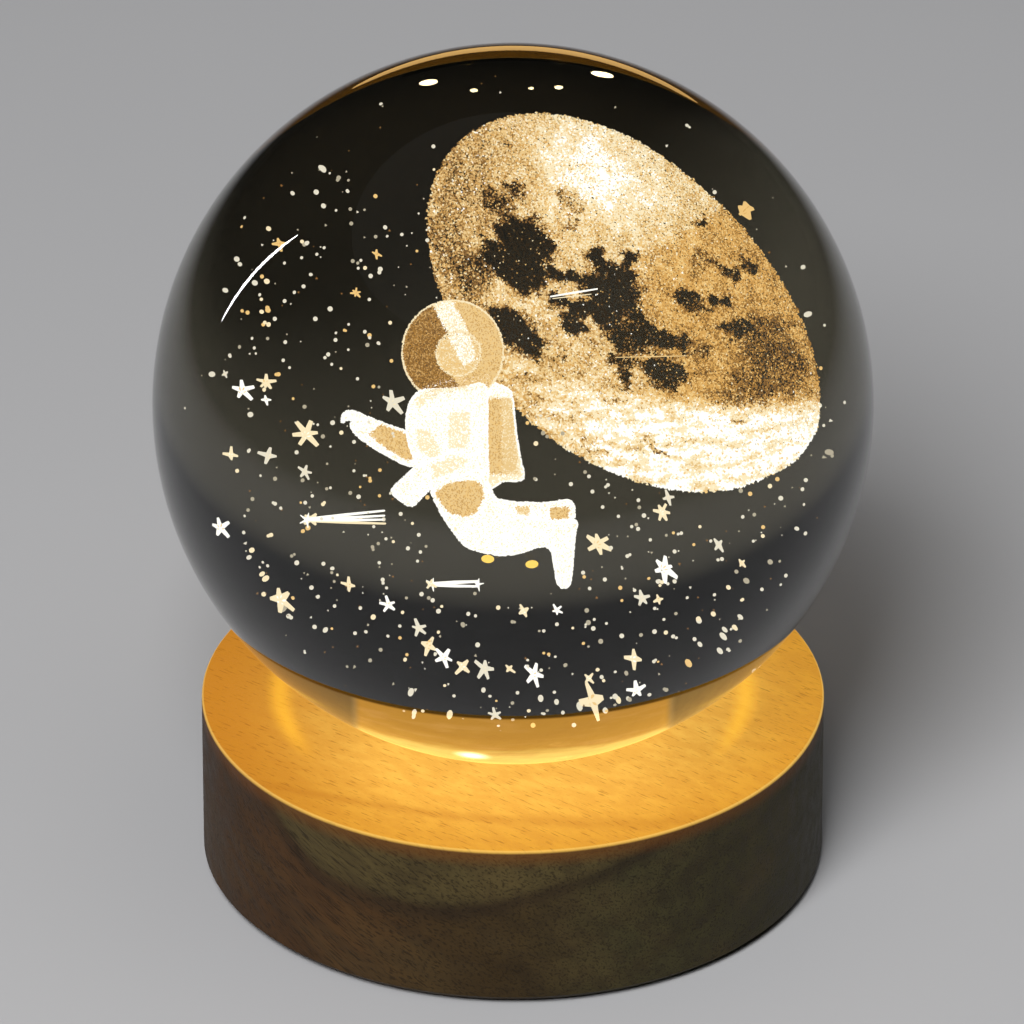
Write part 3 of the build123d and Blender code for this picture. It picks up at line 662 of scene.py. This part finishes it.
def orb(middle, radius, rows=24, sides=40):
    """A round closed form with its poles along the picture's front."""
    points = [(0, 0, -1)]
    for row in range(1, rows):
        angle = math.pi * row / rows
        for side in range(sides):
            turn = 2 * math.pi * side / sides
            flat = math.sin(angle)
            points.append((flat * math.cos(turn), flat * math.sin(turn), -math.cos(angle)))
    points.append((0, 0, 1))
    points = np.array(points) * radius + middle
    faces = []
    for side in range(sides):
        after = (side + 1) % sides
        faces.append((0, 1 + after, 1 + side))
        for row in range(rows - 2):
            a, b = 1 + row * sides + side, 1 + row * sides + after
            faces += [(a, b, a + sides), (b, b + sides, a + sides)]
        base = 1 + (rows - 2) * sides
        faces.append((base + side, base + after, len(points) - 1))
    return points, np.array(faces)


def spike(start, end, thick, blunt=0.25):
    """A thin six-sided point from start to end, in the picture's own millimetres."""
    axis = (end - start) / np.linalg.norm(end - start)
    side = np.cross(axis, [0.3, 0.5, 0.81])
    side /= np.linalg.norm(side)
    other = np.cross(axis, side)
    angles = 2 * math.pi * np.arange(6) / 6
    around = np.outer(np.cos(angles), side) + np.outer(np.sin(angles), other)
    far = thick * blunt
    points = np.vstack([start[None], start + around * thick, end + around * far, end[None] + axis * far])
    faces = []
    for k in range(6):
        n = (k + 1) % 6
        faces += [(0, 1 + n, 1 + k), (1 + k, 1 + n, 7 + k), (1 + n, 7 + n, 7 + k), (7 + k, 7 + n, 13)]
    return points, np.array(faces)


def gather(name, surfaces):
    """Several small surfaces, each of its own shade, as one piece."""
    points, faces, shades, count = [], [], [], 0
    for (corner, side), shade in surfaces:
        points.append(corner)
        faces.append(side + count)
        shades += [shade] * len(side)
        count += len(corner)
    corners = to_world(np.vstack(points))
    return triangles(name, corners, np.vstack(faces), shades, speck_colours, "ball")


def sparkle(middle, reach, points, random):
    """A chunky star with blunt arms in the picture's plane."""
    first = random.uniform(0, 2 * math.pi)
    rim = []
    for arm in range(points):
        turn = first + 2 * math.pi * (arm + random.uniform(-0.12, 0.12)) / points
        out = reach * random.uniform(0.75, 1.25)
        valley = reach * random.uniform(0.34, 0.44)
        rim.append((turn - 0.13, out))
        rim.append((turn + 0.13, out))
        rim.append((turn + math.pi / points, valley))
    corners = [(out * math.cos(turn), out * math.sin(turn), 0) for turn, out in rim]
    corners = np.array([*corners, (0, 0, reach * 0.5), (0, 0, -reach * 0.5)]) + middle
    count = len(rim)
    faces = []
    for corner in range(count):
        after = (corner + 1) % count
        faces += [(corner, after, count), (after, corner, count + 1)]
    return corners, np.array(faces)


def make_stars():
    random = np.random.default_rng(23)
    pieces = []
    for number, (across, above, reach, points) in enumerate(stars):
        spot = seen_along(across, above, star_depth_spread * math.sin(number * golden_angle))
        shade, core = ((0, 6), (1, 0), (9, 1), (1, 6))[number % 4]
        size = 0.9
        if above > high_up:
            shade, core, size = 6, 7, 0.6
        pieces.append((sparkle(spot, reach * size, points, random), shade))
        pieces.append((orb(spot, reach * 0.36 * size, 8, 12), core))
    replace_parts(gather("star_sparkles", pieces), "engraved_stars")


make_stars()


dot_count = 390
fine_count = 260
# millimetres: as far out on the face, and as far from the ball's centre, as there is dust
dust_edge = 36.6
dust_reach = 32


def dust_share(across, above):
    """How thick the dust is at this place on the ball's face."""
    if math.hypot(across, above) > dust_edge:
        return 0.0
    # the moon, seen as an ellipse that leans to the left
    moon_across, moon_above = across - 12.4, above - 11.2
    moon_gap = math.hypot(moon_across, moon_above)
    beside = abs(moon_across * 0.72 + moon_above * 0.70)
    lengthwise = abs(moon_across * 0.70 - moon_above * 0.72)
    if beside < 14.5 and moon_gap < 25.5 and moon_gap < 14.5 + 9.0 * lengthwise / 24:
        return 0.0
    # the spaceman's body, and the legs
    if -13.0 < across < 1.2 and -10.0 < above < 11.5:
        return 0.0
    if -9.5 < across < 7.5 and -20.5 < above < -9.0:
        return 0.05
    if above > 26:
        return 0.12
    if above > 18 and across > -12:
        return 0.25
    if across < -30:
        return 0.10
    if above > 4 and across > 14:
        return 0.20
    return 1.0 if above < 12 else 0.7


def make_dust():
    random = np.random.default_rng(31)
    pieces, made = [], 0
    while made < dot_count:
        across, above = random.uniform(-38, 38, 2)
        if random.uniform() > dust_share(across, above):
            continue
        if min(math.dist((across, above), star[:2]) for star in stars) < 1.0:
            continue
        beyond = random.uniform(-13, 13)
        spot = seen_along(across, above, beyond)
        if np.linalg.norm(spot) > dust_reach:
            continue
        radius = random.uniform(0.105, 0.16)
        shade = int(random.choice([9, 10, 1, 6], p=[0.60, 0.16, 0.14, 0.10]))
        pieces.append((orb(spot, radius, 6, 10), shade))
        if random.uniform() < 0.15:
            aside = spot + random.normal(0, 1, 3) * radius * 0.9
            pieces.append((orb(aside, radius * 0.8, 6, 10), shade))
        made += 1
    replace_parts(gather("star_dots", pieces), "engraved_star_dust")
    spots = []
    while len(spots) < fine_count:
        across, above = random.uniform(-38, 38, 2)
        if dust_share(across, above) > random.uniform(0, 0.5):
            spot = seen_along(across, above, random.uniform(-14, 14))
            if np.linalg.norm(spot) < dust_reach:
                spots.append(spot)
    reaches = random.uniform(0.07, 0.11, fine_count)
    specks("fine_dust", np.array(spots), reaches, random.choice([10, 9, 4], fine_count), random)


make_dust()


def make_meteors():
    depth = 4.0
    pieces = []
    # from and to in the photograph's pixels, half thickness in millimetres, shade
    streaks = (
        ((300, 516), (380, 508), 0.10, 0),
        ((302, 517), (380, 513), 0.10, 0),
        ((304, 518), (378, 517), 0.10, 0),
        ((300, 518), (381, 521), 0.10, 1),
        ((428, 581), (474, 579), 0.13, 0),
        ((428, 583), (474, 584), 0.11, 0),
        ((546, 297), (592, 290), 0.09, 0),
        ((548, 299), (586, 295), 0.05, 1),
        ((610, 357), (680, 356), 0.05, 2),
    )
    for start, end, thick, shade in streaks:
        one, two = pixel(*start, depth), pixel(*end, depth)
        middle = (one + two) / 2
        pieces.append((spike(middle, one, thick, 0.7), shade))
        pieces.append((spike(middle, two, thick, 0.7), shade))
    for spot, reach in (((302, 517), 0.55), ((428, 582), 0.5), ((474, 582), 0.5)):
        base = pixel(*spot, depth)
        for turn in np.radians([20, 80, 150, 215, 285]):
            tip = base + np.array([math.cos(turn), math.sin(turn), 0.1]) * reach
            pieces.append((spike(base, tip, reach * 0.2), 0))
    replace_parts(gather("meteor_streaks", pieces), "engraved_meteors")


make_meteors()


# The glass ball
def make_ball():
    rings, sides = 128, 256
    profile = [(0, -ball_radius)]
    for ring in range(1, rings):
        angle = -math.pi / 2 + math.pi * ring / rings
        profile.append((ball_radius * math.cos(angle), ball_radius * math.sin(angle)))
    points, faces = revolved(profile, sides)
    pole = len(points)
    faces += [(pole - sides + side, pole - sides + (side + 1) % sides, pole) for side in range(sides)]
    points = [ball_centre + Vector(point) for point in (*points, (0, 0, ball_radius))]
    material, tree, shader = new_material("crystal_glass")
    settle(tree, shader, {"Base Color": (*painted_glass_shade, 1.0), "Roughness": 0.0, "IOR": glass_index})
    settle(tree, shader, {"Transmission Weight": 1.0, "Specular IOR Level": 0.32})
    # a painted reflection of the lit seat, glowing in the ball's foot, by the height above the ball's
    # centre in millimetres
    coordinates = object_places(tree)
    x, _, z = apart(tree, coordinates)
    height = times(tree, operate(tree, "SUBTRACT", z, ball_centre.z), 1000.0)
    cloud = grain(tree, coordinates, (0.006, 0.006, 0.0012), detail=2.0)
    loose = operate(tree, "ADD", height, times(tree, cloud, 3.0))
    # a painted glint: one lamp shows as a bright spot
    spot = measure(tree, "DISTANCE", coordinates, ball_centre + Vector((-0.0045, -0.0263, -0.0298)))
    painted_flare = steps(tree, spot, 0.0003, 0.0026, 1.0, 0.0)
    painted_seat_glow = layered(tree, srgb(196, 142, 58), (
        (steps(tree, loose, -28.0, -25.5, 1.0, 0.0), (255, 216, 112)),
        (steps(tree, cloud, 0.45, 0.75, 0.0, 0.45), (222, 166, 90)),
        (painted_flare, (255, 246, 206)),
    ))
    # the painted glow shows outward only, and fades to the left and the right
    outer = operate(tree, "SUBTRACT", 1.0, add(tree, "ShaderNodeNewGeometry").outputs["Backfacing"])
    aside = steps(tree, operate(tree, "ABSOLUTE", x), 0.0165, 0.0180, 1.0, 0.30)
    painted_seat_glow = mix(tree, steps(tree, aside, 0.3, 1.0), srgb(190, 164, 112), painted_seat_glow)
    painted_glow_share = times(tree, steps(tree, height, -20.6, -20.1, 0.74, 0.0), aside)
    painted_glow_share = operate(tree, "ADD", painted_glow_share, times(tree, painted_flare, 1.2))
    settle(tree, shader, {"Emission Color": painted_seat_glow, "Emission Strength": times(tree, painted_glow_share, outer)})
    piece = solid("glass_ball", points, faces, material, smooth=(3, 4))
    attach(piece, "ball")
    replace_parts(piece, "crystal_ball")


make_ball()


# Wood
base_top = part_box("wooden_base")[1].z
# the growth rings' axis: its direction and a point on it
fibre = Vector((0.696, -0.564, -0.445)).normalized()
ring_point = Vector((0.00466, 0.00575, -0.0164))
strong_ring = 50.2
painted_arc_radius = 0.0262


def wood_material():
    material, tree, shader = new_material("lit_wood")
    coordinates = object_places(tree)
    x, y, z = apart(tree, coordinates)
    # distance from the growth rings' axis, in millimetres
    shift = measure(tree, "SUBTRACT", coordinates, ring_point)
    lengthwise = measure(tree, "SCALE", fibre, measure(tree, "DOT_PRODUCT", shift, fibre))
    distance = measure(tree, "LENGTH", measure(tree, "SUBTRACT", shift, lengthwise))
    wobble = grain(tree, coordinates, (0.016, 0.016, 0.016), detail=2.0)
    ring = operate(tree, "ADD", times(tree, distance, 1000.0), times(tree, wobble, 1.6))
    ring = operate(tree, "SUBTRACT", ring, 0.8)
    # the strong dark ring, the pale wood outside it, and faint rings within
    outside = steps(tree, ring, strong_ring, strong_ring + 0.8)
    gap = operate(tree, "ABSOLUTE", operate(tree, "SUBTRACT", ring, strong_ring))
    dark_line = steps(tree, gap, 0.0, 1.1, 1.0, 0.0)
    fine = operate(tree, "SINE", times(tree, ring, 1.15))
    fine = steps(tree, fine, 0.2, 1.0)
    turn = (0.0, math.radians(26.4), math.radians(-39.0))
    streak = grain(tree, coordinates, (0.030, 0.0016, 0.0016), turn, 4.0, 0.6)
    pores = grain(tree, coordinates, (0.0024, 0.00022, 0.00022), turn, 2.0, 0.5)
    pores_fine = steps(tree, pores, 0.50, 0.66)
    flat_turn = (0.0, 0.0, math.radians(-39.0))
    flat_pores = grain(tree, coordinates, (0.0019, 0.00024, 0.01), flat_turn, 2.0, 0.5)
    flat_fine = steps(tree, flat_pores, 0.58, 0.70)
    patches = grain(tree, coordinates, (0.020, 0.009, 0.009), turn, 3.0)
    # the side: reddish to the left and below, olive to the right, pale olive outside the ring, with a
    # painted band of lamp light along its top edge
    middle = operate(tree, "ABSOLUTE", operate(tree, "ADD", x, 0.004))
    lit_rim = steps(tree, z, base_top - 0.0026, base_top - 0.0006)
    side = layered(tree, srgb(74, 50, 27), (
        (steps(tree, x, -0.016, 0.012), (63, 58, 35)),
        (steps(tree, middle, 0.002, 0.016, 0.75, 0.0), (55, 42, 23)),
        (times(tree, outside, 0.9), (82, 71, 42)),
        (times(tree, dark_line, 0.55), (46, 36, 26)),
        (times(tree, fine, 0.20), (40, 30, 18)),
        (steps(tree, streak, 0.35, 0.65, 0.45, 0.0), (38, 28, 16)),
        (steps(tree, patches, 0.45, 0.70, 0.0, 0.22), (96, 78, 46)),
        (times(tree, pores_fine, 0.60), (30, 22, 13)),
        (times(tree, lit_rim, 0.55), (112, 66, 22)),
    ))
    # the top, with the lamp's light painted on as a glow that fades away from the seat and to the left,
    # and painted arcs of light that the ball throws on the left and the right
    flat = add(tree, "ShaderNodeCombineXYZ")
    settle(tree, flat, {"X": x, "Y": y})
    from_middle = measure(tree, "LENGTH", flat.outputs[0])
    painted_arc = operate(tree, "ABSOLUTE", operate(tree, "SUBTRACT", from_middle, painted_arc_radius))
    aside = steps(tree, operate(tree, "ABSOLUTE", x), 0.0215, 0.0255)
    painted_arc = times(tree, steps(tree, painted_arc, 0.0, 0.0020, 1.0, 0.0), aside)
    top = layered(tree, srgb(250, 192, 84), (
        (steps(tree, from_middle, 0.018, 0.036), (236, 168, 56)),
        (times(tree, steps(tree, x, -0.034, -0.012, 1.0, 0.0), 0.72), (196, 120, 30)),
        (steps(tree, streak, 0.38, 0.66, 0.30, 0.0), (206, 132, 40)),
        (times(tree, dark_line, 0.30), (190, 116, 34)),
        (times(tree, flat_fine, 0.50), (150, 88, 24)),
        (times(tree, painted_arc, 0.5), (255, 190, 50)),
        # a painted highlight along the top's edge
        (steps(tree, z, base_top - 0.0001, base_top - 0.00002, 0.55, 0.0), (255, 212, 110)),
    ))
    upper = steps(tree, z, base_top - 0.0005, base_top - 0.0001)
    near_seat = steps(tree, from_middle, 0.015, 0.035, 0.92, 0.74)
    lit = operate(tree, "ADD", near_seat, times(tree, painted_arc, 0.2))
    settle(tree, shader, {
        "Base Color": mix(tree, upper, side, mix(tree, 0.76, top, (0.0, 0.0, 0.0, 1.0))),
        "Emission Color": top,
        "Emission Strength": times(tree, upper, lit),
        "Roughness": steps(tree, streak, 0.3, 0.7, 0.48, 0.62),
        "Specular IOR Level": 0.18,
    })
    height = operate(tree, "SUBTRACT", times(tree, streak, 0.5), pores_fine)
    bump(tree, shader, height, 0.00006, 0.5)
    return material


dress("wooden_base", wood_material())


# Small parts
def moulded(name, light, dark, rough, size, depth=0.00001, metallic=0.0):
    """Plastic, rubber, laminate or metal: a fine texture with a little cloudiness."""
    material, tree, shader = new_material(name)
    coordinates = object_places(tree)
    cloud = grain(tree, coordinates, (size * 9, size * 9, size * 9), detail=4.0)
    fine = grain(tree, coordinates, (size, size, size), detail=3.0)
    colour = mix(tree, steps(tree, cloud, 0.35, 0.65), srgb(*dark), srgb(*light))
    rough = steps(tree, fine, 0.3, 0.7, rough - 0.07, rough + 0.09)
    settle(tree, shader, {"Base Color": colour, "Roughness": rough, "Metallic": metallic})
    bump(tree, shader, fine, depth, 0.6)
    return material


# nodes, look, light and dark colour, roughness, grain size in metres, and where it isn't the usual
# one, grain depth in metres and how metallic
small_parts = (
    ("light_board", "board_white", (238, 236, 228), (228, 225, 214), 0.4, 0.0006),
    ("power_board", "board_green", (46, 104, 66), (34, 84, 52), 0.35, 0.0006),
    ("light_board_screws power_board_screws cover_screws",
     "screw_steel", (196, 196, 198), (170, 170, 174), 0.32, 0.0003, 0.000004, 1.0),
    ("led_packages", "led_case", (240, 238, 230), (228, 226, 216), 0.4, 0.0002),
    ("led_resistors power_resistors",
     "resistor_black", (40, 40, 44), (26, 26, 30), 0.4, 0.0002),
    ("usb_socket_shell", "socket_steel", (205, 205, 207), (184, 184, 188), 0.28, 0.0004, 0.000003, 1.0),
    ("usb_socket_core", "socket_black", (34, 34, 36), (24, 24, 26), 0.45, 0.0003),
    ("usb_socket_contacts", "contact_gold", (232, 190, 104), (214, 168, 84), 0.25, 0.0002, 0.000002, 1.0),
    ("switch_housing", "switch_black", (38, 38, 40), (27, 27, 29), 0.5, 0.0004),
    ("switch_plunger", "plunger_white", (226, 224, 216), (210, 208, 200), 0.42, 0.0003),
    ("switch_button", "button_black", (44, 43, 42), (32, 31, 30), 0.42, 0.0003),
    ("wire_red", "wire_red_skin", (186, 34, 30), (160, 26, 24), 0.4, 0.0004),
    ("wire_black", "wire_black_skin", (36, 36, 38), (26, 26, 28), 0.4, 0.0004),
    ("bottom_cover", "cover_black", (46, 45, 44), (35, 34, 33), 0.58, 0.0005, 0.00002),
    ("rubber_feet", "foot_rubber", (60, 60, 62), (46, 46, 48), 0.75, 0.0004),
)
for names, *look in small_parts:
    material = moulded(*look)
    for name in names.split():
        dress(name, material)
dress("led_lenses", glow("led_light", srgb(255, 206, 130), 60.0))


# The switch's return spring
spring_low, spring_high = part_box("switch_spring")
spring_wire = 0.00018
spring_turns = 6


def make_spring():
    middle = (spring_low + spring_high) / 2
    reach = (spring_high.x - spring_low.x) / 2 - spring_wire
    length = spring_high.y - spring_low.y
    # the end turns lie close, and those between are spread
    closed = 2.1 * spring_wire
    spread = (length - 2 * spring_wire - 2 * closed) / (spring_turns - 2)
    rise = (0, closed, closed + spread * (spring_turns - 2), length - 2 * spring_wire)
    around, sides = 36, 10
    turns = np.arange(spring_turns * around + 1) / around
    along = spring_low.y + spring_wire + np.interp(turns, (0, 1, spring_turns - 1, spring_turns), rise)
    angle = 2 * math.pi * turns
    outward = np.stack([np.cos(angle), np.zeros_like(angle), np.sin(angle)], 1)
    axis_points = np.stack([np.full_like(angle, middle.x), along, np.full_like(angle, middle.z)], 1)
    line = outward * reach + axis_points
    forward = np.gradient(line, axis=0)
    forward /= np.linalg.norm(forward, axis=1)[:, None]
    upward = np.cross(forward, outward)
    corners, faces = [], []
    for row in range(len(line)):
        for side in range(sides):
            turn = 2 * math.pi * side / sides
            offset = math.cos(turn) * outward[row] + math.sin(turn) * upward[row]
            corners.append(line[row] + spring_wire * offset)
            if row:
                before, here = (row - 1) * sides, row * sides
                after = (side + 1) % sides
                faces.append((before + side, before + after, here + after, here + side))
    faces.append(tuple(reversed(range(sides))))
    faces.append(tuple(range(len(corners) - sides, len(corners))))
    steel = moulded("spring_steel_wire", (190, 190, 194), (160, 160, 166), 0.25, 0.0002, 0.000002, 1.0)
    piece = solid("return_spring", corners, faces, steel, smooth=(4,))
    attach(piece, "base")
    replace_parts(piece, "switch_spring")
    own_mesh(piece)


make_spring()


# Studio
def make_floor():
    """A pale round floor that bends up into a wall, painted darker far from the object as painted shade.
    """
    level, bend, wall_top = 1.6, 0.5, 2.2
    profile = [(radius, 0.0) for radius in (0.0, 0.15, 0.3, 0.5, 0.8, 1.2, level)]
    for step in range(1, 13):
        angle = math.pi / 2 * step / 12
        profile.append((level + bend * math.sin(angle), bend - bend * math.cos(angle)))
    profile.append((level + bend, wall_top))
    points, faces = revolved(profile, 96)
    faces = [face[::-1] for face in faces]
    material, tree, shader = new_material("studio_grey")
    # painted shade: the floor and wall turn dark far from the object
    far = steps(tree, measure(tree, "LENGTH", object_places(tree)), 0.20, 0.52)
    colour = mix(tree, far, (0.45, 0.45, 0.46, 1.0), (0.018, 0.018, 0.017, 1.0))
    settle(tree, shader, {"Base Color": colour, "Roughness": 0.9, "Specular IOR Level": 0.1})
    solid("studio_floor", points, faces, material)


make_floor()


def lamp(name, location, width, height, power, colour=(1, 1, 1)):
    """A soft lamp that looks at the ball."""
    data = bpy.data.lights.new(name, "AREA")
    data.shape = "RECTANGLE"
    data.size = width
    data.size_y = height
    data.energy = power
    data.color = colour
    piece = place(bpy.data.objects.new(name, data))
    piece.location = location
    aim = Vector((0, 0, 0.05)) - Vector(location)
    piece.rotation_euler = aim.to_track_quat("-Z", "Y").to_euler()
    return piece


key = lamp("key_lamp", (-0.30, -0.95, 1.10), 0.6, 0.6, 24.0)
fill = lamp("fill_lamp", (0.2, -0.3, 1.9), 1.8, 1.8, 7.0)
for soft in (key, fill):
    soft.visible_glossy = False
    soft.visible_transmission = False


def gleam(name, start, end, width, strength, colour, through=False):
    """A lamp from start to end that shows only as a highlight on the ball, or only through its glass."""
    start, end = Vector(start), Vector(end)
    length = (end - start).length
    middle = (start + end) / 2
    piece = lamp(name, middle, width, length, strength * math.pi * width * length, colour)
    up = (end - start).normalized()
    side = up.cross(middle - ball_centre).normalized()
    piece.rotation_euler = Matrix((side, up, side.cross(up))).transposed().to_euler()
    piece.data.shape = "ELLIPSE"
    piece.visible_camera = False
    piece.visible_diffuse = False
    piece.visible_glossy = not through
    piece.visible_transmission = through


gleam("strip_lamp", (-0.654, 0.304, 0.10), (-0.569, 0.266, 0.42), 0.013, 30.0, (1, 1, 1))
gleam("rim_lamp", (-0.05, 0.17, 0.075), (0.06, 0.17, 0.075), 0.024, 1.1, (1.0, 0.60, 0.20))
# small warm highlights above, behind the ball: right, up and share of the full size
warm_spots = ((-0.110, 0.259, 1.0), (-0.067, 0.394, 0.6), (0.031, 0.395, 0.4), (0.074, 0.363, 0.6),
              (0.096, 0.185, 1.0))
for number, (x, z, size) in enumerate(warm_spots):
    low, high = (x, 0.5, z - 0.025 * size), (x, 0.5, z + 0.025 * size)
    gleam(f"spot_lamp_{number + 1}", low, high, 0.022 * size, 16.0, (1.0, 0.80, 0.42))
# two golden glints below the spaceman
for number, (x, z) in enumerate(((0.0059, 0.0042), (-0.0044, 0.0057))):
    low, high = (x, 0.17, z - 0.0012), (x, 0.17, z + 0.0012)
    gleam(f"glint_lamp_{number + 1}", low, high, 0.003, 6.0, (1.0, 0.70, 0.15), through=True)

world = bpy.data.worlds.new("studio_air")
bpy.context.scene.world = world
world.use_nodes = True
settle(world.node_tree, world.node_tree.nodes["Background"], {"Color": (1, 1, 1, 1), "Strength": 0.07})

bpy.context.view_layer.update()
